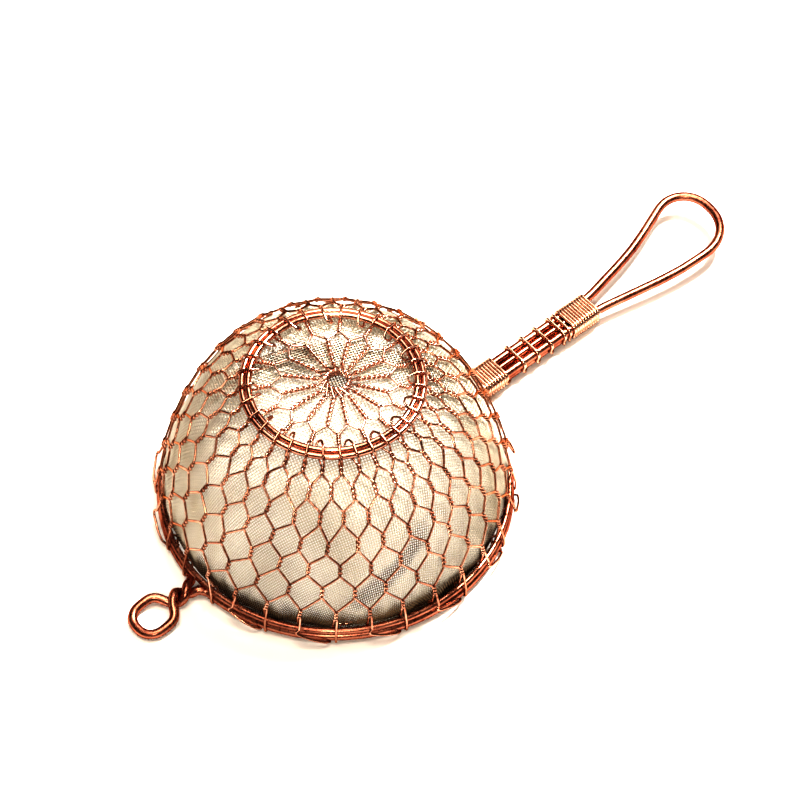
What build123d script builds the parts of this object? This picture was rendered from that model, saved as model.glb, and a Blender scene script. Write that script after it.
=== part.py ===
from build123d import *

import math
import os

# Hand-woven copper tea strainer, lying dome up on its rim.
# Millimetres. +X runs along the handle, +Z is up, and the origin is the middle of the bowl on the table.

# Driving dimensions
RIM_RADIUS = 36.6          # centre line of both rim rings
RIM_WIRE = 2.0             # lower rim ring, which also makes the rest eye
UPPER_WIRE = 1.4           # upper rim ring
HEM_WIRE = 0.9             # ring inside the cloth's hem
FOOT_WIRE = 1.3            # the two rings of the foot
NET_WIRE = 0.5             # hand-woven net
BINDING_WIRE = 0.65        # binding of the grip
LOOP_WIRE = 2.0            # handle loop
GAP = 0.02                 # clearance between wires that lie on each other

# Net: the dome is a superellipse in the r, z plane
DOME_RADIUS = 37.9
DOME_BASE = 2.25
DOME_HEIGHT = 36.95
DOME_POWER_R = 4.47
DOME_POWER_Z = 1.146
CROWN_SHIFT = (0.85, -0.85)  # the knot sits a little off centre
COLUMNS = 32               # twists in each row below the foot
COLUMN_PHASE = 4.6         # degrees
COLUMN_SQUEEZE = 0.12      # the columns crowd towards one side
SQUEEZE_TOWARDS = -85.0    # degrees
SQUEEZE_FADES = (30.0, 57.0)  # arc lengths from which they even out again, and where they are even
LEG_START = 4.05           # arc length from the crown to the first twists
LEG_END = 11.2
INNER_ROW = (12.9, 15.3)   # the row between the legs and the foot
ROWS = [(19.9, 22.0), (23.5, 27.0), (29.2, 32.6), (35.0, 38.4), (40.8, 44.1), (46.8, 50.0), (53.0, 55.4)]
KNOT_HALF = 1.3            # each crossing wire slopes this far either side of the hole
KNOT_SLOPE = 0.65
STRAND = 0.31              # radius of a two-strand twist
FOOT_AT = (16.95, 18.27)   # arc lengths of the two foot rings
FOOT_LIFT = NET_WIRE / 2 + GAP + FOOT_WIRE / 2
KNOT_LIFT = 0.2            # the crossing wires lie a little above the net
RIM_ASIDE = {0: 0.85, 16: 1.6}  # sideways at the rim, from the grip's legs and from the eye's neck
UNBOWED = (15, 31)         # columns whose outer strand would bow across the neck or the grip
BOW = [(0.0, 0.1, 0.9), (0.3, 0.75, -0.2), (0.75, 0.7, -1.7)]  # part of the way, out, above the upper ring

RIM_Z = RIM_WIRE / 2 + NET_WIRE + 2 * GAP
UPPER_Z = RIM_Z + RIM_WIRE / 2 + UPPER_WIRE / 2 + GAP
WRAP = RIM_WIRE / 2 + NET_WIRE / 2 + GAP

# Liner: wire cloth just under the net, tucked inside the rings at its hem
LINER_DEPTH = 0.95         # from the net's centre line to the cloth's outer face
LINER_THICK = 0.25
LINER_WALL = 49.0          # arc length where the cloth turns in
HEM_RADIUS = 34.6
HEM_Z = 3.0

# Grip: two rim legs below, two loop legs above, the ends of the upper ring between them
LOWER_LEG = (1.43, 1.70)
UPPER_LEG = (1.97, 3.74)
MIDDLE_LEGS = (2.66, 4.07)
LEGS_FROM = 42.4           # the loop's legs start under the inner coil
GRIP_END = 73.6
BINDING_TOP = (3.742, 5.12)
BINDING_FOOT = (2.481, 0.355)
BINDING_BEND = 1.36
INNER_COIL = (38.9, 0.74, 10)   # start, pitch, turns
OPEN_RINGS = (50.6, 54.6, 58.5, 62.4)
CROSS_OVER = (63.3, 64.6)
OUTER_COIL = (65.3, 0.70, 12)

# Handle loop and rest eye
LOOP_FAR_KNEE = (90.0, 5.1, 4.4)
LOOP_FAR = (110.9, 12.3, 5.2)
LOOP_NEAR = (110.5, -7.3, 5.2)
LOOP_NEAR_KNEE = (94.0, -6.3, 4.55)
LOOP_BENDS = (8.0, 60.0, 6.2, 8.8, 60.0, 8.0)
EYE_NECK = -38.2
EYE_STEP = 0.875           # one eighth of a turn of the neck's twist
EYE_TWIST = 1.15
EYE_TWIST_Z = 2.12
EYE_NEAR = -45.9
EYE_TIP = -52.95
EYE_HALF = 3.9
EYE_Z = RIM_WIRE / 2


def dome_table():
    """Arc length, radius, height and outward normal down the net's profile."""
    table = []
    length = 0.0
    steps = 3000
    previous = (0.0, DOME_BASE + DOME_HEIGHT)
    for step in range(steps + 1):
        turn = math.pi / 2 * step / steps
        r = DOME_RADIUS * math.sin(turn) ** (2 / DOME_POWER_R)
        z = DOME_BASE + DOME_HEIGHT * math.cos(turn) ** (2 / DOME_POWER_Z)
        length += math.hypot(r - previous[0], z - previous[1])
        slope_r = DOME_POWER_R * (r / DOME_RADIUS) ** (DOME_POWER_R - 1) / DOME_RADIUS
        rise = max((z - DOME_BASE) / DOME_HEIGHT, 1e-9)
        slope_z = DOME_POWER_Z * rise ** (DOME_POWER_Z - 1) / DOME_HEIGHT
        size = math.hypot(slope_r, slope_z)
        table.append((length, r, z, slope_r / size, slope_z / size))
        previous = (r, z)
    return table


DOME = dome_table()


def dome(s):
    """Radius, height and outward normal of the net at arc length s from the crown."""
    low = 0
    high = len(DOME) - 1
    while high - low > 1:
        middle = (low + high) // 2
        if DOME[middle][0] < s:
            low = middle
        else:
            high = middle
    part = (s - DOME[low][0]) / max(DOME[high][0] - DOME[low][0], 1e-9)
    return [a + (b - a) * part for a, b in zip(DOME[low][1:], DOME[high][1:])]


def column_angle(column, s=FOOT_AT[0]):
    """Direction of a column of twists, in radians. Columns are even only at the crown and the rim."""
    turn = math.radians(column * 360 / COLUMNS + COLUMN_PHASE)
    full, none = SQUEEZE_FADES
    squeeze = COLUMN_SQUEEZE * max(0.0, min(1.0, s / FOOT_AT[0], (none - s) / (none - full)))
    return turn - squeeze * math.sin(turn - math.radians(SQUEEZE_TOWARDS))


def around(angle, radius, z, lateral=0.0):
    """A point at a radius and height, moved sideways by lateral."""
    x = radius * math.cos(angle) - lateral * math.sin(angle)
    y = radius * math.sin(angle) + lateral * math.cos(angle)
    return (x, y, z)


def on_net(s, column, lateral=0.0, lift=0.0):
    """A point on the net: arc length, column, sideways offset, and lift along the outward normal."""
    r, z, normal_r, normal_z = dome(s)
    place = around(column_angle(column, s), r + normal_r * lift, z + normal_z * lift, lateral)
    fade = max(0.0, 1 - s / FOOT_AT[0])
    return (place[0] + CROWN_SHIFT[0] * fade, place[1] + CROWN_SHIFT[1] * fade, place[2])


def twist(start, end, column, side, first_turn, turns, steps):
    """One strand of a twist. Side 1 leaves to the right, side -1 to the left."""
    points = []
    for step in range(steps + 1):
        part = step / steps
        turn = 2 * math.pi * (first_turn + turns * part)
        lateral = -side * STRAND * math.cos(turn)
        lift = side * STRAND * math.sin(turn)
        points.append(on_net(start + (end - start) * part, column, lateral, lift))
    return points


def over_foot(column, first_lateral):
    """The strand that arches over both foot rings."""
    arch = [(15.9, 1.5), (16.6, 1.88), (18.5, 1.88), (19.25, 1.4)]
    points = []
    for index, (s, lift) in enumerate(arch):
        lateral = first_lateral + (STRAND - first_lateral) * (index + 0.5) / len(arch)
        points.append(on_net(s, column, lateral, lift))
    return points


def below_foot(column, side):
    """One strand from the foot through the last row, and the column that it reaches."""
    start, end = ROWS[0]
    points = [on_net(start, column, side * STRAND), on_net(end, column, side * STRAND)]
    for start, end in ROWS[1:]:
        column += side / 2
        points += twist(start, end, column, side, 0, 0.5, 3)
    return points, column


def rim_angle(column):
    """Where a column meets the rim."""
    return column_angle(column, SQUEEZE_FADES[1]) + RIM_ASIDE.get(column % COLUMNS, 0) / RIM_RADIUS


def outer_finish(column):
    """A strand's end outside both rings and under them. Odd columns bow across to the next one."""
    start = rim_angle(column) + STRAND / RIM_RADIUS
    outside = RIM_RADIUS + WRAP
    if column % 2 == 0 or column % COLUMNS in UNBOWED:
        return [around(start, outside - 0.05, UPPER_Z + 0.4)] + wrap(start, (-15, -65, -115, -165))
    end = rim_angle(column + 1) - 3 * STRAND / RIM_RADIUS
    points = [around(start + (end - start) * part, outside + out, UPPER_Z + up) for part, out, up in BOW]
    return points + wrap(end, (-15, -65, -115, -165))


def inner_finish(column):
    """A strand's end inside both rings."""
    angle = rim_angle(column) - STRAND / RIM_RADIUS
    inside = RIM_RADIUS - WRAP
    points = [around(angle, RIM_RADIUS - 0.25, UPPER_Z + 1.5), around(angle, inside, UPPER_Z + 0.3)]
    return points + wrap(angle, (-165, -115))


def wrap(angle, places):
    """Corners of a wire that hugs the lower ring, at places round its section in degrees."""
    corner = WRAP / math.cos(math.radians(25))
    points = []
    for place in places:
        radius = RIM_RADIUS + corner * math.cos(math.radians(place))
        z = RIM_Z + corner * math.sin(math.radians(place))
        points.append(around(angle, radius, z))
    return points


def strand_end(column, side):
    """One strand from the foot to its end at the rim. Right-hand strands end outside the rings."""
    points, last = below_foot(column, side)
    if side > 0:
        return points + outer_finish(last)
    return points + inner_finish(last)


def leg_strand(column, side):
    """One strand of a leg, from the crown out to the foot and down to the rim."""
    points = twist(LEG_START, LEG_END, column, side, 0.25, 1.25, 8)
    column += side
    points.append(on_net(INNER_ROW[0], column, -side * STRAND))
    points.append(on_net(INNER_ROW[1], column, -side * STRAND))
    if side > 0:
        points += over_foot(column, -STRAND)
    return points + strand_end(column, side)


def crown_wire(index):
    """A wire that passes beside the crown's hole and is a strand of two legs."""
    rising = leg_strand(2 * index + 1, 1)
    sinking = leg_strand(2 * index - 9, -1)
    start = Vector(*rising[0])
    run = Vector(*sinking[0]) - start
    flat = Vector(run.X, run.Y, 0).normalized()
    middle = start + run * 0.5
    points = list(reversed(rising))
    for way in (-1, 1):
        place = middle + flat * (way * KNOT_HALF)
        points.append((place.X, place.Y, middle.Z + KNOT_LIFT - way * KNOT_HALF * KNOT_SLOPE))
    return round_wire(points + sinking, NET_WIRE, 0.3)


def hairpin_wire(index):
    """A wire bent in two behind the foot rings: one strand arches over them, one runs under."""
    column = 2 * index + 1
    under = strand_end(column, -1)
    bend = [
        on_net(18.6, column, -0.9),
        on_net(15.6, column, -1.75),
        on_net(14.95, column, -1.35, 0.35),
        on_net(14.95, column, -0.7, 1.0),
    ]
    over = over_foot(column, -0.45) + strand_end(column, 1)
    return round_wire(list(reversed(under)) + bend + over, NET_WIRE, 0.3)


def round_wire(points, wire, bends):
    """A round wire along straight runs joined by arcs."""
    return swept(FilletPolyline(*points, radius=bends), wire)


def swept(path, wire):
    section = Plane(origin=path @ 0, z_dir=path % 0) * Circle(wire / 2)
    return sweep(section, path=path)


def rim_side(side):
    """Half of the lower wire: its leg in the grip, and its way from the ring into the rest eye."""
    joint = math.radians(7)
    joint_x = RIM_RADIUS * math.cos(joint)
    joint_y = RIM_RADIUS * math.sin(joint)
    corner_x = joint_x + (joint_y - LOWER_LEG[0]) * math.tan(joint)
    leg = [
        (GRIP_END - 1, side * LOWER_LEG[0], LOWER_LEG[1]),
        (LEGS_FROM - 3.5, side * LOWER_LEG[0], LOWER_LEG[1]),
        (corner_x, side * LOWER_LEG[0], RIM_Z),
        (joint_x, side * joint_y, RIM_Z),
    ]
    leave = math.radians(171)
    leave_x = RIM_RADIUS * math.cos(leave)
    leave_y = RIM_RADIUS * math.sin(leave)
    pull = 3.2
    neck = [
        (leave_x, side * leave_y, RIM_Z),
        (leave_x - pull * math.sin(leave), side * (leave_y + pull * math.cos(leave)), RIM_Z),
    ]
    for step in range(8):
        turn = math.pi / 4 * step
        y = side * EYE_TWIST * math.cos(turn)
        neck.append((EYE_NECK - EYE_STEP * step, y, EYE_TWIST_Z + side * EYE_TWIST * math.sin(turn)))
    return leg, neck


def rim_and_rest_wire():
    """One wire: a leg of the grip, round the rim, out to the rest eye, and back the other way."""
    leg, neck = rim_side(1)
    other_leg, other_neck = rim_side(-1)
    eye = [
        (EYE_NEAR, EYE_HALF, 1.8),
        (EYE_TIP, EYE_HALF, EYE_Z),
        (EYE_TIP, -EYE_HALF, EYE_Z),
        (EYE_NEAR, -EYE_HALF, 1.8),
    ]
    through = neck + eye + list(reversed(other_neck))
    bends = [2.2] + [0.9] * 8 + [2.6, 3.4, 3.4, 2.6] + [0.9] * 8 + [2.2]
    with BuildLine() as path:
        FilletPolyline(*leg, radius=2.2)
        CenterArc((0, 0, RIM_Z), RIM_RADIUS, 7, 164)
        FilletPolyline(*through, radius=bends)
        CenterArc((0, 0, RIM_Z), RIM_RADIUS, 189, 164)
        FilletPolyline(*reversed(other_leg), radius=2.2)
    return swept(path.wires()[0], RIM_WIRE)


def rim_upper_ring():
    """The upper ring, whose two ends turn out into the middle of the grip."""
    joint = math.radians(5)
    joint_x = RIM_RADIUS * math.cos(joint)
    joint_y = RIM_RADIUS * math.sin(joint)
    turn_y = 0.75
    corner_x = joint_x + (joint_y - turn_y) * math.tan(joint)
    low, high = MIDDLE_LEGS
    low_end = [
        (joint_x, joint_y, UPPER_Z),
        (corner_x, turn_y, UPPER_Z),
        (38.6, turn_y, UPPER_Z),
        (40.2, 0.38, 3.08),
        (41.8, 0, low),
        (GRIP_END - 1, 0, low),
    ]
    high_end = [
        (joint_x, -joint_y, UPPER_Z),
        (corner_x, -turn_y, UPPER_Z),
        (37.6, -turn_y, UPPER_Z),
        (39.2, -turn_y, high),
        (41.2, -turn_y, high),
        (42.6, 0, high),
        (GRIP_END - 1, 0, high),
    ]
    with BuildLine() as path:
        FilletPolyline(*reversed(low_end), radius=0.9)
        CenterArc((0, 0, UPPER_Z), RIM_RADIUS, 5, 350)
        FilletPolyline(*high_end, radius=0.9)
    return swept(path.wires()[0], UPPER_WIRE)


def foot_ring(s):
    r, z, normal_r, normal_z = dome(s)
    return Pos(0, 0, z + normal_z * FOOT_LIFT) * Torus(r + normal_r * FOOT_LIFT, FOOT_WIRE / 2)


def liner_face(depth):
    """Points down one face of the cloth, in the r, z plane, from the crown to its hem."""
    points = []
    for step in range(15):
        r, z, normal_r, normal_z = dome(LINER_WALL * step / 14)
        points.append((max(r - normal_r * depth, 0), 0, z - normal_z * depth))
    inward = depth - LINER_DEPTH
    points.append((35.5 - inward, 0, 4.8 - inward / 2))
    points.append((34.5 - inward, 0, 3.75 - inward / 2))
    points.append((34.03 - inward, 0, 2.9))
    points.append((34.03 - inward, 0, 1.2))
    return points


def liner_cloth():
    outer = liner_face(LINER_DEPTH)
    inner = liner_face(LINER_DEPTH + LINER_THICK)
    with BuildSketch(Plane.XZ) as section:
        with BuildLine():
            Spline([(x, z) for x, y, z in outer])
            Line((outer[-1][0], outer[-1][2]), (inner[-1][0], inner[-1][2]))
            Spline([(x, z) for x, y, z in reversed(inner)])
            Line((inner[0][0], inner[0][2]), (outer[0][0], outer[0][2]))
        make_face()
    return revolve(section.sketch, axis=Axis.Z)


def grip_binding():
    """One thin wire: a tight inner coil, open rings, a cross-over and a tight outer coil."""
    start, pitch, turns = INNER_COIL
    rings = [(start + pitch * turn, start + pitch * turn) for turn in range(turns)]
    rings += [(x, x) for x in OPEN_RINGS]
    rings.append(CROSS_OVER)
    start, pitch, turns = OUTER_COIL
    rings += [(start + pitch * turn, start + pitch * turn) for turn in range(turns)]
    top_y, top_z = BINDING_TOP
    foot_y, foot_z = BINDING_FOOT
    points = []
    for index, (far_x, near_x) in enumerate(rings[:-1]):
        points.append((far_x, top_y, top_z))
        points.append((near_x, -top_y, top_z))
        points.append((near_x, -foot_y, foot_z))
        points.append((rings[index + 1][0], foot_y, foot_z))
    return round_wire(points, BINDING_WIRE, BINDING_BEND)


def handle_loop():
    y, z = UPPER_LEG
    points = [
        (LEGS_FROM, y, z),
        (GRIP_END, y, z),
        LOOP_FAR_KNEE,
        LOOP_FAR,
        LOOP_NEAR,
        LOOP_NEAR_KNEE,
        (GRIP_END, -y, z),
        (LEGS_FROM, -y, z),
    ]
    return round_wire(points, LOOP_WIRE, LOOP_BENDS)


def save(shape, node):
    shape.label = node
    export_step(shape, f"parts/{node}.step")


os.makedirs("parts", exist_ok=True)
save(rim_and_rest_wire(), "rim_and_rest_wire")
save(rim_upper_ring(), "rim_upper_ring")
save(Pos(0, 0, HEM_Z) * Torus(HEM_RADIUS, HEM_WIRE / 2), "liner_hem_ring")
save(foot_ring(FOOT_AT[0]), "foot_ring_inner")
save(foot_ring(FOOT_AT[1]), "foot_ring_outer")
save(liner_cloth(), "liner_cloth")
save(handle_loop(), "handle_loop")
save(grip_binding(), "grip_binding")
for number in range(COLUMNS // 2):
    save(crown_wire(number), f"crown_wire_{number + 1:02d}")
    save(hairpin_wire(number), f"hairpin_wire_{number + 1:02d}")
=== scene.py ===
import math
import random

import bpy
import numpy as np
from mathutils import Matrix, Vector


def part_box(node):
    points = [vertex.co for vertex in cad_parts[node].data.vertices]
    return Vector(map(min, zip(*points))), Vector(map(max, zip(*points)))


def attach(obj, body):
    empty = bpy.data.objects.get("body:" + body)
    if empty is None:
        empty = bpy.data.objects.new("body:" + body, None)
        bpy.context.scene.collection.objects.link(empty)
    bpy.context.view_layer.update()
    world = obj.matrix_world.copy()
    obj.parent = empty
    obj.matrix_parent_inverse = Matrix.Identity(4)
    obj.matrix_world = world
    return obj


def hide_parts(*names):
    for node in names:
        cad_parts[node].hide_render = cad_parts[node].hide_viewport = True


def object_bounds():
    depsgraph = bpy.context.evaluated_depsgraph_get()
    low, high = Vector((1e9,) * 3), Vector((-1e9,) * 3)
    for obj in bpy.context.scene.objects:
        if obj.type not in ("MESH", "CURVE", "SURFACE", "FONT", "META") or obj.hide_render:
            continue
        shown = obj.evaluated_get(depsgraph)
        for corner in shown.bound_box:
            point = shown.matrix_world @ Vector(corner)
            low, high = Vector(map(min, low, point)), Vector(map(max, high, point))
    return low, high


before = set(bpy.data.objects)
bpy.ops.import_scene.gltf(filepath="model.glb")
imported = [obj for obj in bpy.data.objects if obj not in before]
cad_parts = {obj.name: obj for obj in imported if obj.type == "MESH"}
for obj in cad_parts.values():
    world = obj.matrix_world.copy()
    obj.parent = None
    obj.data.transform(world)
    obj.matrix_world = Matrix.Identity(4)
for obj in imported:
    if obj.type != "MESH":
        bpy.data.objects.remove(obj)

CAD_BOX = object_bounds()
MM = 0.001

# All sizes below are in millimetres, in the frame's axes. The driving sizes are read from the CAD nodes.


def node_box(node):
    low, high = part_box(node)
    return np.array(low) / MM, np.array(high) / MM


def ring_of(node):
    """Centre-line radius, height and wire size of a node that is a plain ring."""
    low, high = node_box(node)
    wire = high[2] - low[2]
    return (high[1] - low[1] - wire) / 2, (low[2] + high[2]) / 2, wire


HEM_RADIUS, HEM_Z, HEM_WIRE = ring_of("liner_hem_ring")
FOOT_RINGS = {name: ring_of(name) for name in ("foot_ring_inner", "foot_ring_outer")}
RIM_WIRE = 2.0
UPPER_WIRE = 1.4
RIM_RADIUS = node_box("rim_upper_ring")[1][1] - UPPER_WIRE / 2
NET_WIRE = 0.5
BINDING_WIRE = 0.65
LOOP_WIRE = 2.0
GAP = 0.02                       # left between wires that touch
RIM_Z = RIM_WIRE / 2 + NET_WIRE + 2 * GAP
UPPER_Z = RIM_Z + RIM_WIRE / 2 + UPPER_WIRE / 2 + GAP
WRAP = RIM_WIRE / 2 + NET_WIRE / 2 + GAP

# Net
DOME_RADIUS = 37.9
DOME_BASE = 2.25
DOME_HEIGHT = 36.95
DOME_POWER_R = 4.47
DOME_POWER_Z = 1.146
CROWN_SHIFT = (0.85, -0.85)
FOOT_ARC = 16.95
COLUMNS = 32
COLUMN_PHASE = math.radians(4.6)
COLUMN_SQUEEZE = 0.12
SQUEEZE_TOWARDS = math.radians(-85)
SQUEEZE_FADES = (30.0, 57.0)     # where along the dome the columns' squeeze is full, and where it is gone
# Distances along the dome from the crown. A row's twists run from, to, with so many turns.
LEG = (4.05, 11.2, 3.25)
INNER_ROW = (12.9, 15.3, 2.0)
FOOT_ROW = (19.9, 22.0, 1.0)
ROWS = [(23.5, 27.0), (29.2, 32.6), (35.0, 38.4), (40.8, 44.1), (46.8, 50.0), (53.0, 55.4)]
ROW_TURNS = 1.5
CROWN_ACROSS = 10                # columns from a crown wire's first leg back to its second
KNOT_HALF = 1.3
KNOT_SLOPE = 0.65
KNOT_LIFT = 0.2
KNOT_INWARD = 0.25
STRAND = 0.3
NET_SMOOTH = (0.13, 0.2)         # a net wire's step and how far its bends are evened out
WANDER_SIZES = (0.2, 0.03, 0.03)   # how much a twist strays along, aside and in lean
LAST_ROW_CALM = 0.4
FOOT_ARCH = [(15.9, 1.5), (16.6, 1.88), (18.5, 1.88), (19.25, 1.4)]   # over the foot rings: along, lift
HAIRPIN_BEND = [(18.6, -0.9, 0.0), (15.6, -1.75, 0.0), (14.95, -1.35, 0.35), (14.95, -0.7, 1.0)]
RIM_ASIDE = {0: 0.85, 16: 1.6}   # the ends beside the handle and the eye are pushed aside
UNBOWED = (15, 31)
WRAP_END = -165                  # where an outer end stops round the lower ring, in degrees
# A bowed end on its way to the next column: part of the way, out from the rim, up from the upper ring.
BOW = [
    (0.0, 0.1, 1.6),
    (-0.1, 0.45, 1.15),
    (-0.03, 0.68, 0.55),
    (0.22, 0.68, -0.15),
    (0.55, 0.68, -0.9),
    (0.87, 0.45, -1.7),
]

# Cloth
CLOTH_DEPTH = 1.07               # from the net's centre line to the middle of the cloth
CLOTH_WALL = 48.0                # how far down the cloth keeps to the dome, before its hem
HEM_LINE = [(36.0, 9.0), (35.85, 6.4), (35.4, 4.5), (35.17, 3.0), (35.0, 1.6), (34.7, 1.0)]
CLOTH_PITCH = 0.6
CLOTH_WIRE = 0.2
CLOTH_TURN = math.radians(-19)
THREAD_WAVE = 0.45               # a thread's rise and fall over a crossing, in wire sizes
THREAD_FULL = 1.1                # a four-sided thread is drawn this much larger than its wire

# Painted shade on the cloth and a painted highlight on the net: where tone changes
HEM_SHADE = (6.5, 11.5)           # heights below which the cloth's painted shade is full, and above which there is none
HEM_SHADE_EDGE = 10.0                  # how far that edge wanders
FOLD_SHADE = (0.68, 24.2, 3.2, (1.0, -20.0))   # painted shade along one crease of the cloth: z over x, height at the middle, half width, from and to in x
FOLD_SHADE_EDGE = 2.5                  # how far the fold's edge wanders
FOLD_SHADE_FADES = (7, 2, -15)         # how it fades in x at each end, and in y towards the back
HOLE_DARK = (3.4, 2.2)           # distances from the crown where its hole's shade ends and is full
PATCH_SHADE = ((-2.5, 10.5, 38.0), 7.5, 3.0)   # painted shade in one patch beside the crown: centre, and the distances where it ends and is full
# how dark that patch's painted shade gets
PATCH_SHADE_DEPTH = 0.55
CROWN_HIGHLIGHT = (21.0, 10.0)       # distances from the crown where the net's painted highlight ends, and is full
# how far the wire is paled at the painted highlight's full
CROWN_HIGHLIGHT_DEPTH = 0.65

# Grip, loop and eye
LOWER_LEG = (1.43, 1.70)
UPPER_LEG = (1.97, 3.74)
MIDDLE_LEGS = (2.66, 4.07)
GRIP_END = 73.6
LEGS_FROM = 42.4
RIM_JOINT = 7                    # degrees from the handle where the lower ring turns into the grip
RIM_LEAVES = 171                 # degrees from the handle where it leaves for the eye
NECK_PULL = 3.2                  # how straight it leaves
UPPER_JOINT = 5
UPPER_ASIDE = 0.75
BINDING_REACH = 1.36             # from a leg's centre line to the binding's
INNER_COIL = (38.9, 0.74, 10)
OPEN_RINGS = (50.6, 54.6, 58.5, 62.4)
CROSS_OVER = (63.3, 64.6)
OUTER_COIL = (65.3, 0.70, 12)
LOOP_FAR_KNEE = (90.0, 5.1, 4.4)
LOOP_FAR = (110.9, 13.1, 5.2)
LOOP_NEAR = (110.5, -6.4, 5.2)
LOOP_NEAR_KNEE = (94.0, -6.3, 4.55)
LOOP_BENDS = (8.0, 60.0, 6.2, 8.8, 60.0, 8.0)
EYE_NECK = -38.2
EYE_STEP = 0.875
EYE_TWIST = 1.1
EYE_TWIST_Z = 2.12
EYE_NEAR = -45.9
EYE_TIP = -52.95
EYE_HALF = 3.9
EYE_NEAR_Z = 1.8
EYE_Z = RIM_WIRE / 2

chance = random.Random(11)


# ---------------------------------------------------------------- curves

def unit(v):
    return v / np.linalg.norm(v, axis=-1, keepdims=True)


def resample(path, step):
    """The same line with evenly spaced points."""
    runs = np.linalg.norm(np.diff(path, axis=0), axis=1)
    keep = np.concatenate([[True], runs > 1e-6])
    path = path[keep]
    along = np.concatenate([[0], np.cumsum(np.linalg.norm(np.diff(path, axis=0), axis=1))])
    count = max(3, int(round(along[-1] / step)) + 1)
    even = np.linspace(0, along[-1], count)
    return np.stack([np.interp(even, along, path[:, i]) for i in range(3)], axis=1)


def soften(path, step, reach, closed=False):
    """Evens out a line's bends over about reach on each side. Its ends stay where they are."""
    path = resample(path, step)
    half = max(1, int(3 * reach / step))
    weights = np.exp(-0.5 * (np.arange(-half, half + 1) * step / reach) ** 2)
    weights /= weights.sum()
    if closed:
        padded = np.concatenate([path[-half - 1:-1], path, path[1:half + 1]])
    else:
        before = 2 * path[0] - path[half:0:-1]
        after = 2 * path[-1] - path[-2:-half - 2:-1]
        padded = np.concatenate([before, path, after])
    return np.stack([np.convolve(padded[:, i], weights, "valid") for i in range(3)], axis=1)


def rounded(points, bends):
    """Straight runs joined by arcs of the given radii."""
    points = np.array(points, float)
    if np.isscalar(bends):
        bends = [bends] * (len(points) - 2)
    line = [points[0]]
    for before, corner, after, bend in zip(points[:-2], points[1:-1], points[2:], bends):
        back = unit(before - corner)
        ahead = unit(after - corner)
        half = math.acos(max(-1.0, min(1.0, float(back @ ahead)))) / 2
        if half > math.radians(89.5):
            line.append(corner)
            continue
        reach = bend / math.tan(half)
        centre = corner + unit(back + ahead) * bend / math.sin(half)
        start = corner + back * reach - centre
        end = corner + ahead * reach - centre
        sweep = math.pi - 2 * half
        for part in np.linspace(0, 1, max(3, int(sweep / 0.12))):
            mix = math.sin((1 - part) * sweep) * start + math.sin(part * sweep) * end
            line.append(centre + mix / math.sin(sweep))
    line.append(points[-1])
    return np.array(line)


def flowing(points):
    """A smooth curve through a few points."""
    points = np.array(points, float)
    points = np.concatenate([[2 * points[0] - points[1]], points, [2 * points[-1] - points[-2]]])
    line = []
    for a, b, c, d in zip(points[:-3], points[1:-2], points[2:-1], points[3:]):
        for t in np.linspace(0, 1, 10, endpoint=False):
            line.append(b + 0.5 * t * (c - a + t * (2 * a - 5 * b + 4 * c - d + t * (3 * (b - c) + d - a))))
    return line + [points[-2]]


def circle(radius, z, start, end):
    turn = np.radians(np.linspace(start, end, max(8, int(abs(end - start)))))
    return np.stack([radius * np.cos(turn), radius * np.sin(turn), np.full_like(turn, z)], axis=1)


# ---------------------------------------------------------------- meshes

def mesh_object(name, points, faces, material):
    mesh = bpy.data.meshes.new(name)
    mesh.vertices.add(len(points))
    mesh.vertices.foreach_set("co", (np.asarray(points) * MM).astype(np.float32).ravel())
    faces = np.asarray(faces, dtype=np.int32)
    mesh.loops.add(faces.size)
    mesh.loops.foreach_set("vertex_index", faces.ravel())
    mesh.polygons.add(len(faces))
    mesh.polygons.foreach_set("loop_start", np.arange(0, faces.size, faces.shape[1], dtype=np.int32))
    mesh.update(calc_edges=True)
    mesh.polygons.foreach_set("use_smooth", [True] * len(faces))
    mesh.materials.append(material)
    piece = bpy.data.objects.new(name, mesh)
    bpy.context.scene.collection.objects.link(piece)
    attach(piece, "root")
    return piece


def carried(tangents):
    """A direction across the line at each point, that turns with it and doesn't twist."""
    first = Vector((0, 0, 1)) if abs(tangents[0][2]) < 0.9 else Vector((1, 0, 0))
    across = (first - Vector(tangents[0]) * first.dot(Vector(tangents[0]))).normalized()
    out = np.empty_like(tangents)
    for index, tangent in enumerate(tangents):
        tangent = Vector(tangent)
        across = (across - tangent * across.dot(tangent)).normalized()
        out[index] = across
    return out


END_DOME = [(0.0, 0.35), (0.55, 0.82), (0.85, 0.96)]   # rings of a wire's end: part of its height, size
END_HEIGHT = 0.5                                       # the dome's height over the wire's radius


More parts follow.
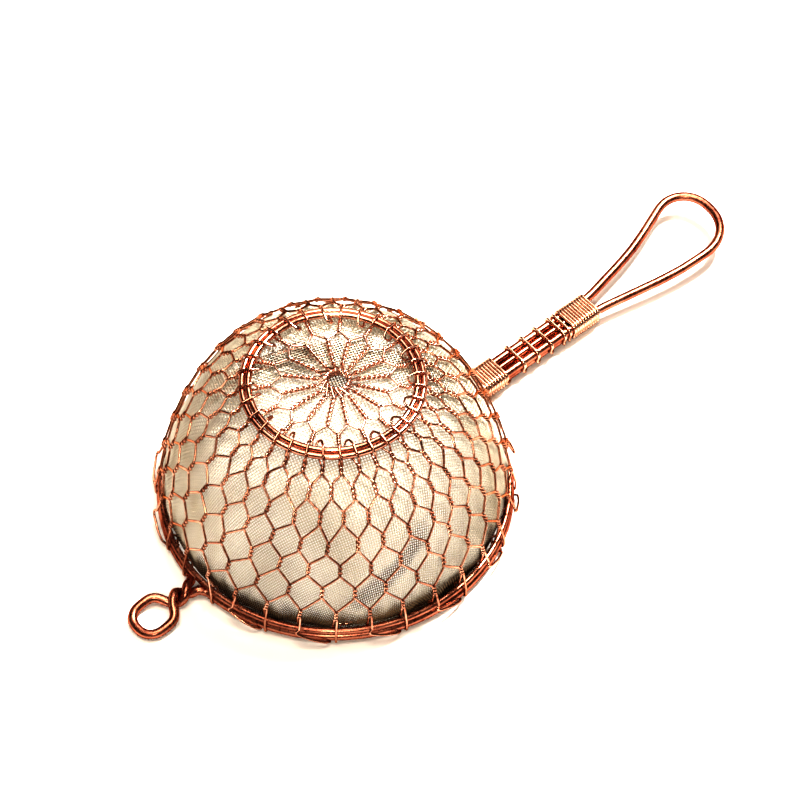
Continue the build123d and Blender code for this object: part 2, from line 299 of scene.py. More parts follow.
def tube_mesh(path, radius, sides, closed=False):
    """Points and quads of a round wire. Open ends are closed with a dome of three rings."""
    if closed:
        path = path[:-1]
        tangents = unit(np.roll(path, -1, axis=0) - np.roll(path, 1, axis=0))
    else:
        tangents = unit(np.gradient(path, axis=0))
    across = carried(tangents)
    if closed:
        # spread the small mismatch at the seam over the whole ring
        end = Vector(across[0])
        last = Vector(across[-1])
        miss = math.atan2(last.cross(end).dot(Vector(tangents[0])), last.dot(end))
        turn = np.linspace(0, miss, len(path))[:, None]
        other = np.cross(tangents, across)
        across = across * np.cos(turn) + other * np.sin(turn)
    other = np.cross(tangents, across)
    radii = np.full(len(path), radius)
    if not closed:
        first = path[0] - tangents[0] * radius * END_HEIGHT
        last = path[-1] + tangents[-1] * radius * END_HEIGHT
        head = [first + tangents[0] * radius * END_HEIGHT * place for place, size in END_DOME]
        tail = [last - tangents[-1] * radius * END_HEIGHT * place for place, size in reversed(END_DOME)]
        path = np.concatenate([head, path, tail])
        sizes = [size for place, size in END_DOME]
        radii = np.concatenate([np.array(sizes) * radius, radii, np.array(sizes[::-1]) * radius])
        across = np.concatenate([[across[0]] * 3, across, [across[-1]] * 3])
        other = np.concatenate([[other[0]] * 3, other, [other[-1]] * 3])
    turn = np.arange(sides) * 2 * math.pi / sides
    ring = across[:, None] * np.cos(turn)[None, :, None] + other[:, None] * np.sin(turn)[None, :, None]
    points = (path[:, None] + ring * radii[:, None, None]).reshape(-1, 3)
    count = len(path)
    rows = count if closed else count - 1
    here = np.arange(rows)[:, None] * sides + np.arange(sides)[None]
    side = np.arange(rows)[:, None] * sides + (np.arange(sides)[None] + 1) % sides
    shift = ((np.arange(rows) + 1) % count)[:, None] * sides
    there = shift + np.arange(sides)[None]
    there_side = shift + (np.arange(sides)[None] + 1) % sides
    quads = np.stack([here, side, there_side, there], axis=2).reshape(-1, 4)
    if not closed:
        points = np.concatenate([points, [path[0]], [path[-1]]])
        low = len(points) - 2
        high = len(points) - 1
        steps = np.arange(0, sides, 2)
        start = np.stack([np.full(len(steps), low), (steps + 2) % sides, steps + 1, steps], axis=1)
        base = (count - 1) * sides
        beyond = base + (steps + 2) % sides
        end = np.stack([np.full(len(steps), high), base + steps, base + steps + 1, beyond], axis=1)
        quads = np.concatenate([quads, start, end])
    return points, quads


def wire(name, path, diameter, sides, material, slot, node, closed=False):
    points, quads = tube_mesh(path, diameter / 2, sides, closed)
    piece = mesh_object(name, points, quads, material)
    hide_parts(node)
    return piece


# ---------------------------------------------------------------- materials

def node_material(name):
    material = bpy.data.materials.new(name)
    material.use_nodes = True
    nodes = material.node_tree.nodes
    nodes.clear()
    output = nodes.new("ShaderNodeOutputMaterial")
    shader = nodes.new("ShaderNodeBsdfPrincipled")
    material.node_tree.links.new(shader.outputs[0], output.inputs[0])
    return material, nodes, material.node_tree.links, shader


def feed(links, socket, value):
    """Gives a socket a number, a colour or another node's output."""
    if isinstance(value, bpy.types.NodeSocket):
        links.new(value, socket)
    else:
        socket.default_value = value


def noise(nodes, links, place, scale, detail, stretch=(1, 1, 1)):
    mapping = nodes.new("ShaderNodeMapping")
    mapping.inputs["Scale"].default_value = stretch
    links.new(place, mapping.inputs["Vector"])
    texture = nodes.new("ShaderNodeTexNoise")
    texture.inputs["Scale"].default_value = scale
    texture.inputs["Detail"].default_value = detail
    links.new(mapping.outputs[0], texture.inputs["Vector"])
    return texture.outputs["Fac"]


def ramp(nodes, links, factor, stops):
    node = nodes.new("ShaderNodeValToRGB")
    bar = node.color_ramp
    while len(bar.elements) < len(stops):
        bar.elements.new(0.5)
    for element, (place, color) in zip(bar.elements, stops):
        element.position = place
        element.color = (*color, 1)
    links.new(factor, node.inputs[0])
    return node.outputs[0]


def spread(nodes, links, value, low, high):
    node = nodes.new("ShaderNodeMapRange")
    node.inputs["From Min"].default_value = 0.3
    node.inputs["From Max"].default_value = 0.7
    node.inputs["To Min"].default_value = low
    node.inputs["To Max"].default_value = high
    links.new(value, node.inputs["Value"])
    return node.outputs["Result"]


def blend(nodes, links, factor, first, second):
    node = nodes.new("ShaderNodeMix")
    node.data_type = "RGBA"
    for name, value in (("Factor", factor), ("A", first), ("B", second)):
        feed(links, node.inputs[name], value)
    return node.outputs["Result"]


def roughen(nodes, links, shader, height, strength, depth):
    """Fine relief on the surface. The depth is in millimetres."""
    bump = nodes.new("ShaderNodeBump")
    bump.inputs["Strength"].default_value = strength
    bump.inputs["Distance"].default_value = depth * MM
    links.new(height, bump.inputs["Height"])
    links.new(bump.outputs[0], shader.inputs["Normal"])


def sums(nodes, links, kind, first, second=0.0, third=0.0):
    """One math node. Its operands are numbers or other nodes' outputs."""
    node = nodes.new("ShaderNodeMath")
    node.operation = kind
    for socket, value in zip(node.inputs, (first, second, third)):
        feed(links, socket, value)
    return node.outputs[0]


def fading(nodes, links, value, none, full):
    """0 where the value is at none, 1 where it is at full, with a smooth change between them."""
    node = nodes.new("ShaderNodeMapRange")
    node.interpolation_type = "SMOOTHSTEP"
    node.inputs["From Min"].default_value = none
    node.inputs["From Max"].default_value = full
    links.new(value, node.inputs["Value"])
    return node.outputs["Result"]


def spot(nodes, links, place, centre, none, full):
    """1 near a centre and 0 away from it. The centre and both distances are in millimetres."""
    away = nodes.new("ShaderNodeVectorMath")
    away.operation = "DISTANCE"
    links.new(place, away.inputs[0])
    away.inputs[1].default_value = [part * MM for part in centre]
    return fading(nodes, links, away.outputs["Value"], none * MM, full * MM)


def copper(name, light, middle, dark, rough, marks, edge, crown=None):
    """Drawn copper: patches of tone, fine drawing marks, worn and dulled spots, a darker grazing edge.
    Given a crown tone, the wire is paler around the crown: a painted highlight where the top of the dome
    catches the light."""
    material, nodes, links, shader = node_material(name)
    place = nodes.new("ShaderNodeTexCoord").outputs["Object"]
    patches = noise(nodes, links, place, 160, 4)
    specks = noise(nodes, links, place, 1500, 3)
    tone = ramp(nodes, links, patches, [(0.32, dark), (0.5, middle), (0.68, light)])
    worn = ramp(nodes, links, specks, [(0.3, dark), (0.52, light)])
    color = blend(nodes, links, 0.3, tone, worn)
    # painted highlight: around the crown the wire is paled towards the crown tone
    if crown is not None:
        top = (*CROWN_SHIFT, DOME_BASE + DOME_HEIGHT)
        near = spot(nodes, links, place, top, *CROWN_HIGHLIGHT)
        near = sums(nodes, links, "MULTIPLY", near, CROWN_HIGHLIGHT_DEPTH)
        color = blend(nodes, links, near, color, (*crown, 1))
    links.new(color, shader.inputs["Base Color"])
    shader.inputs["Specular Tint"].default_value = (*edge, 1)
    shader.inputs["Metallic"].default_value = 1.0
    links.new(spread(nodes, links, specks, *rough), shader.inputs["Roughness"])
    roughen(nodes, links, shader, noise(nodes, links, place, 2600, 2, (1, 1, 2.5)), 0.25, marks)
    return material


def painted_shade(nodes, links, place):
    """Painted shade on the cloth: darker along its hem, along one crease, in the crown's hole and in one
    patch beside the crown.
    """
    split = nodes.new("ShaderNodeSeparateXYZ")
    links.new(place, split.inputs[0])
    x, y, z = split.outputs
    # painted shade along the hem: darker towards the bottom, with a wandering edge
    rough_edge = sums(nodes, links, "SUBTRACT", noise(nodes, links, place, 260, 4, (1, 1, 0.6)), 0.5)
    height = sums(nodes, links, "MULTIPLY_ADD", rough_edge, HEM_SHADE_EDGE * MM, z)
    hem = fading(nodes, links, height, HEM_SHADE[1] * MM, HEM_SHADE[0] * MM)
    # painted shade in a band along one crease of the cloth
    slope, rise, half, (start, end) = FOLD_SHADE
    line = sums(nodes, links, "MULTIPLY_ADD", x, -slope, z)
    off = sums(nodes, links, "ABSOLUTE", sums(nodes, links, "SUBTRACT", line, rise * MM))
    off = sums(nodes, links, "MULTIPLY_ADD", rough_edge, FOLD_SHADE_EDGE * MM, off)
    fold_shade = fading(nodes, links, off, half * MM, half * 0.35 * MM)
    long, short, back = FOLD_SHADE_FADES
    limits = ((x, start, start - long), (x, end - short, end + short), (y, 0.0, back))
    for value, none, full in limits:
        fold_shade = sums(nodes, links, "MULTIPLY", fold_shade, fading(nodes, links, value, none * MM, full * MM))
    # painted shade in the crown's hole, where the piled wires shade it
    top = (*CROWN_SHIFT, DOME_BASE + DOME_HEIGHT - CLOTH_DEPTH)
    hole = spot(nodes, links, place, top, *HOLE_DARK)
    # painted shade in one patch beside the crown
    patch_shade = sums(nodes, links, "MULTIPLY", spot(nodes, links, place, *PATCH_SHADE), PATCH_SHADE_DEPTH)
    dark = sums(nodes, links, "MAXIMUM", hem, fold_shade)
    return sums(nodes, links, "MAXIMUM", dark, sums(nodes, links, "MAXIMUM", hole, patch_shade))


CLOTH_TONES = [(0.3, (0.56, 0.50, 0.38)), (0.5, (0.70, 0.65, 0.54)), (0.72, (0.78, 0.75, 0.66))]


def cloth_metal(name, dark):
    """Fine pale wire: brassy in patches, with painted shade at the hem, along one crease, in the crown's
    hole and in one patch.
    """
    material, nodes, links, shader = node_material(name)
    place = nodes.new("ShaderNodeTexCoord").outputs["Object"]
    patches = noise(nodes, links, place, 90, 5)
    grain = noise(nodes, links, place, 2200, 2)
    tone = ramp(nodes, links, patches, CLOTH_TONES)
    # the dark colour is painted shade, laid on at the hem, along one crease, in the crown's hole and in one
    # patch
    color = blend(nodes, links, painted_shade(nodes, links, place), tone, (*dark, 1))
    links.new(color, shader.inputs["Base Color"])
    shader.inputs["Metallic"].default_value = 0.8
    links.new(spread(nodes, links, grain, 0.30, 0.5), shader.inputs["Roughness"])
    roughen(nodes, links, shader, grain, 0.2, 0.02)
    return material


def floor_material():
    material, nodes, links, shader = node_material("pale_table")
    place = nodes.new("ShaderNodeTexCoord").outputs["Object"]
    grain = noise(nodes, links, place, 40, 3)
    tone = ramp(nodes, links, grain, [(0.3, (0.90, 0.89, 0.87)), (0.7, (0.93, 0.92, 0.90))])
    links.new(tone, shader.inputs["Base Color"])
    shader.inputs["Roughness"].default_value = 0.75
    return material


THICK = copper(
    "copper_thick",
    light=(0.54, 0.23, 0.15),
    middle=(0.33, 0.11, 0.065),
    dark=(0.14, 0.03, 0.017),
    rough=(0.22, 0.36),
    marks=0.03,
    edge=(0.40, 0.16, 0.10),
)
RINGS = copper(
    "copper_rings",
    light=(0.74, 0.40, 0.29),
    middle=(0.54, 0.23, 0.15),
    dark=(0.20, 0.045, 0.025),
    rough=(0.13, 0.24),
    marks=0.02,
    edge=(0.50, 0.22, 0.15),
)
BINDING = copper(
    "copper_binding",
    light=(0.92, 0.62, 0.46),
    middle=(0.84, 0.54, 0.40),
    dark=(0.42, 0.15, 0.085),
    rough=(0.16, 0.28),
    marks=0.02,
    edge=(0.55, 0.25, 0.16),
)
NET = copper(
    "copper_net",
    light=(0.74, 0.42, 0.30),
    middle=(0.44, 0.18, 0.11),
    dark=(0.14, 0.035, 0.018),
    rough=(0.14, 0.26),
    marks=0.012,
    edge=(0.60, 0.30, 0.20),
    # tone of the painted highlight around the crown
    crown=(0.95, 0.66, 0.55),
)
# each cloth wire's second colour is its painted shade
WARP = cloth_metal("cloth_warp_wire", (0.22, 0.145, 0.075))
WEFT = cloth_metal("cloth_weft_wire", (0.035, 0.021, 0.01))


# ---------------------------------------------------------------- the dome

def dome_profile():
    turn = np.linspace(0, math.pi / 2, 3001)
    r = DOME_RADIUS * np.sin(turn) ** (2 / DOME_POWER_R)
    z = DOME_BASE + DOME_HEIGHT * np.clip(np.cos(turn), 0, 1) ** (2 / DOME_POWER_Z)
    s = np.concatenate([[0], np.cumsum(np.hypot(np.diff(r), np.diff(z)))])
    slope_r = DOME_POWER_R * (r / DOME_RADIUS) ** (DOME_POWER_R - 1) / DOME_RADIUS
    rise = np.maximum((z - DOME_BASE) / DOME_HEIGHT, 1e-9)
    slope_z = DOME_POWER_Z * rise ** (DOME_POWER_Z - 1) / DOME_HEIGHT
    size = np.hypot(slope_r, slope_z)
    return s, r, z, slope_r / size, slope_z / size


PROFILE = dome_profile()


def dome(s):
    return [np.interp(s, PROFILE[0], values) for values in PROFILE[1:]]


def column_angle(column, s=FOOT_ARC):
    turn = column * 2 * math.pi / COLUMNS + COLUMN_PHASE
    full, none = SQUEEZE_FADES
    squeeze = COLUMN_SQUEEZE * max(0.0, min(1.0, s / FOOT_ARC, (none - s) / (none - full)))
    return turn - squeeze * math.sin(turn - SQUEEZE_TOWARDS)


def around(angle, radius, z, lateral=0.0):
    x = radius * math.cos(angle) - lateral * math.sin(angle)
    y = radius * math.sin(angle) + lateral * math.cos(angle)
    return (x, y, z)


def on_net(s, column, lateral=0.0, lift=0.0):
    r, z, normal_r, normal_z = dome(s)
    place = around(column_angle(column, s), r + normal_r * lift, z + normal_z * lift, lateral)
    fade = max(0.0, 1 - s / FOOT_ARC)
    return (place[0] + CROWN_SHIFT[0] * fade, place[1] + CROWN_SHIFT[1] * fade, place[2])


# ---------------------------------------------------------------- net strands

# Hand work: each twist sits a little off its even place. Both of its strands share the same offset.
WANDER = {}


def wander(row, column):
    key = (row, round(column * 2) % (2 * COLUMNS))
    return WANDER[key]


def fill_wander():
    for row in range(len(ROWS)):
        for column in range(2 * COLUMNS):
            calm = LAST_ROW_CALM if row == len(ROWS) - 1 else 1.0
            WANDER[(row, column)] = tuple(chance.gauss(0, size) * calm for size in WANDER_SIZES)


fill_wander()


def twist(start, end, column, side, first_turn, turns, lean=0.0):
    """A strand of a twist, in small steps. Side 1 leaves towards the next column, side -1 away from it."""
    points = []
    steps = max(6, int(turns * 14))
    for step in range(steps + 1):
        part = step / steps
        turn = 2 * math.pi * (first_turn + turns * part)
        lateral = -side * STRAND * math.cos(turn)
        lift = side * STRAND * math.sin(turn)
        points.append(on_net(start + (end - start) * part, column + lean * (part - 0.5), lateral, lift))
    return points


def over_foot(column, first_lateral):
    points = []
    for index, (s, lift) in enumerate(FOOT_ARCH):
        lateral = first_lateral + (STRAND - first_lateral) * (index + 0.5) / len(FOOT_ARCH)
        points.append(on_net(s, column, lateral, lift))
    return points


def below_foot(column, side):
    start, end, turns = FOOT_ROW
    points = twist(start, end, column, side, 0.5, turns)
    for row, (start, end) in enumerate(ROWS):
        column += side / 2
        along, aside, lean = wander(row, column)
        points += twist(start + along, end + along, column + aside, side, 0, ROW_TURNS, lean)
    return points, column


def rim_angle(column):
    return column_angle(column, SQUEEZE_FADES[1]) + RIM_ASIDE.get(column % COLUMNS, 0) / RIM_RADIUS


def wrap(angle, first, last):
    """Round the lower ring's section, from one place to another, in degrees."""
    points = []
    for place in np.radians(np.linspace(first, last, 14)):
        points.append(around(angle, RIM_RADIUS + WRAP * math.cos(place), RIM_Z + WRAP * math.sin(place)))
    return points


def outer_finish(column):
    start = rim_angle(column) + STRAND / RIM_RADIUS
    outside = RIM_RADIUS + WRAP
    if column % 2 == 0 or column % COLUMNS in UNBOWED:
        return [around(start, outside - 0.05, UPPER_Z + 0.4)] + wrap(start, 0, WRAP_END)
    end = rim_angle(column + 1) - 3 * STRAND / RIM_RADIUS
    bow = [around(start + (end - start) * part, outside + out, UPPER_Z + up) for part, out, up in BOW]
    return flowing(bow) + wrap(end, -50, WRAP_END)


def inner_finish(column):
    angle = rim_angle(column) - STRAND / RIM_RADIUS
    inside = RIM_RADIUS - WRAP
    points = [around(angle, RIM_RADIUS - 0.25, UPPER_Z + 1.5), around(angle, inside, UPPER_Z + 0.3)]
    return points + wrap(angle, -180, -115)


def strand_end(column, side):
    points, last = below_foot(column, side)
    if side > 0:
        return points + outer_finish(last)
    return points + inner_finish(last)


def leg_strand(column, side):
    start, end, turns = LEG
    points = twist(start, end, column, side, 0.25, turns)
    column += side
    start, end, turns = INNER_ROW
    points += twist(start, end, column, side, 0, turns)
    if side > 0:
        points += over_foot(column, -STRAND)
    return points + strand_end(column, side)


def crown_path(index):
    column = 2 * index + 1
    rising = leg_strand(column, 1)
    sinking = leg_strand(column - CROWN_ACROSS, -1)
    start = np.array(rising[0])
    run = np.array(sinking[0]) - start
    flat = unit(np.array((run[0], run[1], 0)))
    middle = start + run * 0.5
    points = list(reversed(rising))
    inward = np.array((flat[1], -flat[0], 0)) * KNOT_INWARD
    for way in (-1, 1):
        place = middle + flat * (way * KNOT_HALF) + inward
        points.append((place[0], place[1], middle[2] + KNOT_LIFT - way * KNOT_HALF * KNOT_SLOPE))
    return points + sinking


def hairpin_path(index):
    column = 2 * index + 1
    under = strand_end(column, -1)
    bend = [on_net(s, column, aside, lift) for s, aside, lift in HAIRPIN_BEND]
    over = over_foot(column, -0.45) + strand_end(column, 1)
    return list(reversed(under)) + bend + over


def build_net():
    for index in range(COLUMNS // 2):
        for kind, points in (("crown", crown_path(index)), ("hairpin", hairpin_path(index))):
            path = soften(np.array(points), *NET_SMOOTH)
            label = f"{index + 1:02d}"
            wire(f"{kind}_strand_{label}", path, NET_WIRE, 8, NET, "copper_net_wire", f"{kind}_wire_{label}")


# ---------------------------------------------------------------- rings, rest eye, grip and loop

def rim_half(side):
    joint = math.radians(RIM_JOINT)
    joint_x = RIM_RADIUS * math.cos(joint)
    joint_y = RIM_RADIUS * math.sin(joint)
    corner_x = joint_x + (joint_y - LOWER_LEG[0]) * math.tan(joint)
    leg = [
        (GRIP_END - 1, side * LOWER_LEG[0], LOWER_LEG[1]),
        (LEGS_FROM - 3.5, side * LOWER_LEG[0], LOWER_LEG[1]),
        (corner_x, side * LOWER_LEG[0], RIM_Z),
        (joint_x, side * joint_y, RIM_Z),
    ]
    leave = math.radians(RIM_LEAVES)
    leave_x = RIM_RADIUS * math.cos(leave)
    leave_y = RIM_RADIUS * math.sin(leave)
    pulled_x = leave_x - NECK_PULL * math.sin(leave)
    pulled_y = leave_y + NECK_PULL * math.cos(leave)
    neck = [(leave_x, side * leave_y, RIM_Z), (pulled_x, side * pulled_y, RIM_Z)]
    for step in range(29):
        turn = math.pi / 16 * step
        y = side * EYE_TWIST * math.cos(turn)
        neck.append((EYE_NECK - EYE_STEP * step / 4, y, EYE_TWIST_Z + side * EYE_TWIST * math.sin(turn)))
    return leg, neck


def rim_path():
    leg, neck = rim_half(1)
    other_leg, other_neck = rim_half(-1)
    eye = rounded([
        neck[-1],
        (EYE_NEAR, EYE_HALF, EYE_NEAR_Z),
        (EYE_TIP, EYE_HALF, EYE_Z),
        (EYE_TIP, -EYE_HALF, EYE_Z),
        (EYE_NEAR, -EYE_HALF, EYE_NEAR_Z),
        other_neck[-1],
    ], [2.6, 3.4, 3.4, 2.6])
    parts = [
        rounded(leg, 2.2),
        circle(RIM_RADIUS, RIM_Z, RIM_JOINT, RIM_LEAVES),
        np.array(neck),
        eye,
        np.array(other_neck)[::-1],
        circle(RIM_RADIUS, RIM_Z, 360 - RIM_LEAVES, 360 - RIM_JOINT),
        rounded(list(reversed(other_leg)), 2.2),
    ]
    return soften(np.concatenate(parts), 0.3, 0.55)


def upper_path():
    joint = math.radians(UPPER_JOINT)
    joint_x = RIM_RADIUS * math.cos(joint)
    joint_y = RIM_RADIUS * math.sin(joint)
    corner_x = joint_x + (joint_y - UPPER_ASIDE) * math.tan(joint)
    low, high = MIDDLE_LEGS
    low_end = [
        (joint_x, joint_y, UPPER_Z),
        (corner_x, UPPER_ASIDE, UPPER_Z),
        (38.6, UPPER_ASIDE, UPPER_Z),
        (40.2, 0.38, 3.08),
        (41.8, 0, low),
        (GRIP_END - 1, 0, low),
    ]
    high_end = [
        (joint_x, -joint_y, UPPER_Z),
        (corner_x, -UPPER_ASIDE, UPPER_Z),
        (37.6, -UPPER_ASIDE, UPPER_Z),
        (39.2, -UPPER_ASIDE, high),
        (41.2, -UPPER_ASIDE, high),
        (42.6, 0, high),
        (GRIP_END - 1, 0, high),
    ]
    ring = circle(RIM_RADIUS, UPPER_Z, UPPER_JOINT, 360 - UPPER_JOINT)
    parts = [rounded(low_end[::-1], 0.9), ring, rounded(high_end, 0.9)]
    return soften(np.concatenate(parts), 0.3, 0.35)


def loop_path():
    y, z = UPPER_LEG
    points = [
        (LEGS_FROM, y, z),
        (GRIP_END, y, z),
        LOOP_FAR_KNEE,
        LOOP_FAR,
        LOOP_NEAR,
        LOOP_NEAR_KNEE,
        (GRIP_END, -y, z),
        (LEGS_FROM, -y, z),
    ]
    return soften(rounded(points, LOOP_BENDS), 0.3, 1.2)


def binding_turn(x_top, x_next):
    """Once round the grip's four outer legs, drawn across to the next turn underneath."""
    corners = [
        (UPPER_LEG, 20, 90),
        ((-UPPER_LEG[0], UPPER_LEG[1]), 90, 165),
        ((-LOWER_LEG[0], LOWER_LEG[1]), 165, 270),
        (LOWER_LEG, 270, 375),
    ]
    points = []
    for (y, z), first, last in corners:
        for place in np.radians(np.linspace(first, last, 8)):
            points.append((y + BINDING_REACH * math.cos(place), z + BINDING_REACH * math.sin(place)))
    across = np.linspace(0, 1, len(points))
    moved = np.clip((across - 0.55) / 0.4, 0, 1)
    return [(x_top + (x_next - x_top) * part, y, z) for part, (y, z) in zip(moved, points)]


def binding_path():
    start, pitch, turns = INNER_COIL
    rings = [start + pitch * turn for turn in range(turns)]
    rings += list(OPEN_RINGS)
    rings.append(sum(CROSS_OVER) / 2)
    start, pitch, turns = OUTER_COIL
    rings += [start + pitch * turn for turn in range(turns)]
    points = []
    for here, there in zip(rings[:-1], rings[1:]):
        points += binding_turn(here, there)
    return soften(np.array(points), 0.15, 0.22)


def build_frame_wires():
    wire("lower_ring_and_eye", rim_path(), RIM_WIRE, 20, THICK, "copper_thick_wire", "rim_and_rest_wire")
    wire("upper_ring", upper_path(), UPPER_WIRE, 16, THICK, "copper_thick_wire", "rim_upper_ring")
    wire("hanging_loop", loop_path(), LOOP_WIRE, 20, THICK, "copper_thick_wire", "handle_loop")
    wire("grip_coil", binding_path(), BINDING_WIRE, 12, BINDING, "copper_binding_wire", "grip_binding")
    hem = resample(circle(HEM_RADIUS, HEM_Z, 0, 360), 0.5)
    wire("hem_ring", hem, HEM_WIRE, 10, RINGS, "copper_ring_wire", "liner_hem_ring", closed=True)
    for node, (radius, z, size) in FOOT_RINGS.items():
        ring = resample(circle(radius, z, 0, 360), 0.4)
        wire(node.replace("ring", "wire"), ring, size, 14, RINGS, "copper_ring_wire", node, closed=True)


# ---------------------------------------------------------------- wire cloth

def cloth_profile():
    """Arc length, radius and height of the cloth's middle, from the crown to its hem."""
    s = np.linspace(0, CLOTH_WALL, 120)
    r, z, normal_r, normal_z = dome(s)
    r = np.maximum(r - normal_r * CLOTH_DEPTH, 0)
    z = z - normal_z * CLOTH_DEPTH
    line = np.concatenate([np.stack([r, z], axis=1), np.array(HEM_LINE)])
    line = soften(np.concatenate([line, np.zeros((len(line), 1))], axis=1), 0.3, 0.7)
    s = np.concatenate([[0], np.cumsum(np.hypot(np.diff(line[:, 0]), np.diff(line[:, 1])))])
    return s, line[:, 0], line[:, 1]


CLOTH_LINE = cloth_profile()
CLOTH_REACH = CLOTH_LINE[0][-1]


def on_cloth(u, v, lift):
    """The cloth's flat sheet, folded down over the dome. It puckers towards the hem."""
    s = np.hypot(u, v)
    angle = np.arctan2(v, u)
    r = np.interp(s, CLOTH_LINE[0], CLOTH_LINE[1])
    z = np.interp(s, CLOTH_LINE[0], CLOTH_LINE[2])
    ahead_r = np.interp(s + 0.3, CLOTH_LINE[0], CLOTH_LINE[1])
    ahead_z = np.interp(s + 0.3, CLOTH_LINE[0], CLOTH_LINE[2])
    slope = np.hypot(ahead_r - r, ahead_z - z) + 1e-9
    normal_r = -(ahead_z - z) / slope
    normal_z = (ahead_r - r) / slope
    held = np.clip((CLOTH_REACH - s) / 3, 0, 1)
    low = np.clip((s - 30) / 18, 0, 1) ** 2 * held
    wide = 0.16 * np.sin(23 * angle + 1.3 * np.sin(3 * angle))
    narrow = 0.12 * np.sin(41 * angle + 2 * np.sin(2 * angle))
    dent = 0.10 * np.sin(0.31 * u + 1.0) * np.sin(0.27 * v + 0.4)
    lift = lift + (wide + narrow) * low - 0.1 * low + dent * np.clip(s / 10, 0, 1) * held
    r = r + normal_r * lift
    z = z + normal_z * lift
    return np.stack([r * np.cos(angle), r * np.sin(angle), z], axis=-1)


def thread_points(line, way):
    """The four long edges of one thread, at its crossings and half-way between them."""
    half = int(math.sqrt(max(CLOTH_REACH ** 2 - (line * CLOTH_PITCH) ** 2, 0)) / (CLOTH_PITCH / 2))
    if half < 3:
        return None
    steps = np.arange(-half, half + 1)
    along = steps * CLOTH_PITCH / 2
    even = (steps % 2) == 0
    crossing = (steps // 2 + line) % 2
    wave = np.where(even, np.where(crossing == 0, 1.0, -1.0), 0.0) * way * CLOTH_WIRE * THREAD_WAVE
    across = np.full(len(steps), line * CLOTH_PITCH)
    size = CLOTH_WIRE / 2 * THREAD_FULL
    corners = []
    for aside, lift in ((size, 0), (0, size), (-size, 0), (0, -size)):
        if way > 0:
            u, v = along, across + aside
        else:
            u, v = across + aside, along
        flat_u = u * math.cos(CLOTH_TURN) - v * math.sin(CLOTH_TURN)
        flat_v = u * math.sin(CLOTH_TURN) + v * math.cos(CLOTH_TURN)
        corners.append(on_cloth(flat_u, flat_v, wave + lift))
    return np.stack(corners, axis=1)


def thread_faces(count, first):
    """The sides and both ends of one thread of so many steps, whose points start at first."""
    base = first + np.arange(count - 1)[:, None] * 4
    side = np.arange(4)[None]
    after = (side + 1) % 4
    sides = np.stack([base + side, base + after, base + 4 + after, base + 4 + side], axis=2)
    last = first + (count - 1) * 4
    caps = [[first + 3, first + 2, first + 1, first], [last, last + 1, last + 2, last + 3]]
    return np.concatenate([sides.reshape(-1, 4), caps])


def build_cloth():
    lines = int(CLOTH_REACH / CLOTH_PITCH)
    for way, title, material in ((1, "warp", WARP), (-1, "weft", WEFT)):
        for part, numbers in (("low", range(-lines, 0)), ("high", range(0, lines + 1))):
            points = []
            faces = []
            total = 0
            for line in numbers:
                thread = thread_points(line, way)
                if thread is None:
                    continue
                quads = thread_faces(len(thread), total)
                faces.append(quads if way > 0 else quads[:, ::-1])
                points.append(thread.reshape(-1, 3))
                total += len(thread) * 4
            name = f"cloth_{title}_{part}"
            piece = mesh_object(name, np.concatenate(points), np.concatenate(faces), material)
            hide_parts("liner_cloth")


# ---------------------------------------------------------------- table, light and camera

TABLE_HALF = 1.6                 # metres
WORLD_COLOR = (1.0, 0.62, 0.34, 1)
WORLD_STRENGTH = 0.09
LIGHT_TARGET = (0.02, 0, 0)
# name, place and side in metres, watts, colour
LIGHTS = [
    ("back_box", (0.35, 0.42, 0.72), 0.35, 1.8, (1.0, 0.95, 0.88)),
    ("key_box", (0.48, 0.08, 0.80), 0.14, 19, (1.0, 0.98, 0.95)),
    ("top_box", (-0.05, 0.05, 1.0), 0.5, 8.5, (1.0, 0.90, 0.77)),
    ("front_box", (-0.40, -0.45, 0.70), 0.12, 3.5, (1.0, 0.92, 0.80)),
]
CAMERA_ASIDE = (-2.93, 9.46)     # the camera's target from the object's middle, in mm
CAMERA_TARGET_Z = 0.5
CAMERA_AZIMUTH = math.radians(-40.65)
CAMERA_ELEVATION = math.radians(53.42)
CAMERA_AWAY = 731.25
CAMERA_LENS = 153.1
EXPOSURE = 0.2
GAMMA = 0.72


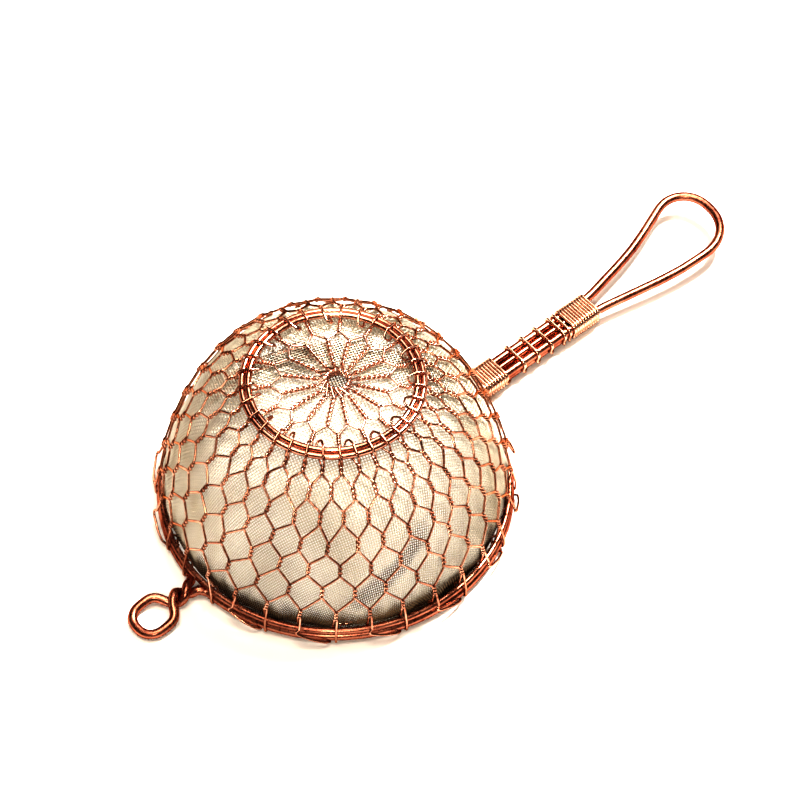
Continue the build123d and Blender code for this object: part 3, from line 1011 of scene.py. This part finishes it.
def build_table():
    half = TABLE_HALF
    mesh = bpy.data.meshes.new("table_top")
    corners = [(-half, -half, 0), (half, -half, 0), (half, half, 0), (-half, half, 0)]
    mesh.from_pydata(corners, [], [(0, 1, 2, 3)])
    mesh.materials.append(floor_material())
    table = bpy.data.objects.new("table_top", mesh)
    bpy.context.scene.collection.objects.link(table)


def aim(thing, place, target):
    thing.location = place
    thing.rotation_euler = (Vector(target) - Vector(place)).to_track_quat("-Z", "Y").to_euler()


def softbox(name, place, side, watts, color):
    data = bpy.data.lights.new(name, "AREA")
    data.shape = "RECTANGLE"
    data.size = side
    data.size_y = side
    data.energy = watts
    data.color = color
    lamp = bpy.data.objects.new(name, data)
    bpy.context.scene.collection.objects.link(lamp)
    aim(lamp, place, LIGHT_TARGET)


def build_light():
    world = bpy.data.worlds.new("studio")
    bpy.context.scene.world = world
    world.use_nodes = True
    back = world.node_tree.nodes["Background"]
    back.inputs["Color"].default_value = WORLD_COLOR
    back.inputs["Strength"].default_value = WORLD_STRENGTH
    for light in LIGHTS:
        softbox(*light)


def build_camera():
    low, high = [Vector(corner) for corner in CAD_BOX]
    middle = (low + high) / 2
    aside_x, aside_y = CAMERA_ASIDE
    target = Vector((middle.x + aside_x * MM, middle.y + aside_y * MM, CAMERA_TARGET_Z * MM))
    flat = math.cos(CAMERA_ELEVATION)
    away = Vector((
        math.sin(CAMERA_AZIMUTH) * flat,
        -math.cos(CAMERA_AZIMUTH) * flat,
        math.sin(CAMERA_ELEVATION),
    ))
    data = bpy.data.cameras.new("camera")
    data.lens = CAMERA_LENS
    data.sensor_width = 36
    data.clip_start = 0.05
    camera = bpy.data.objects.new("camera", data)
    bpy.context.scene.collection.objects.link(camera)
    aim(camera, target + away * CAMERA_AWAY * MM, target)
    bpy.context.scene.camera = camera


build_camera()
build_table()
build_light()
build_frame_wires()
build_net()
build_cloth()
view = bpy.context.scene.view_settings
view.view_transform = "Standard"
view.exposure = EXPOSURE
view.gamma = GAMMA
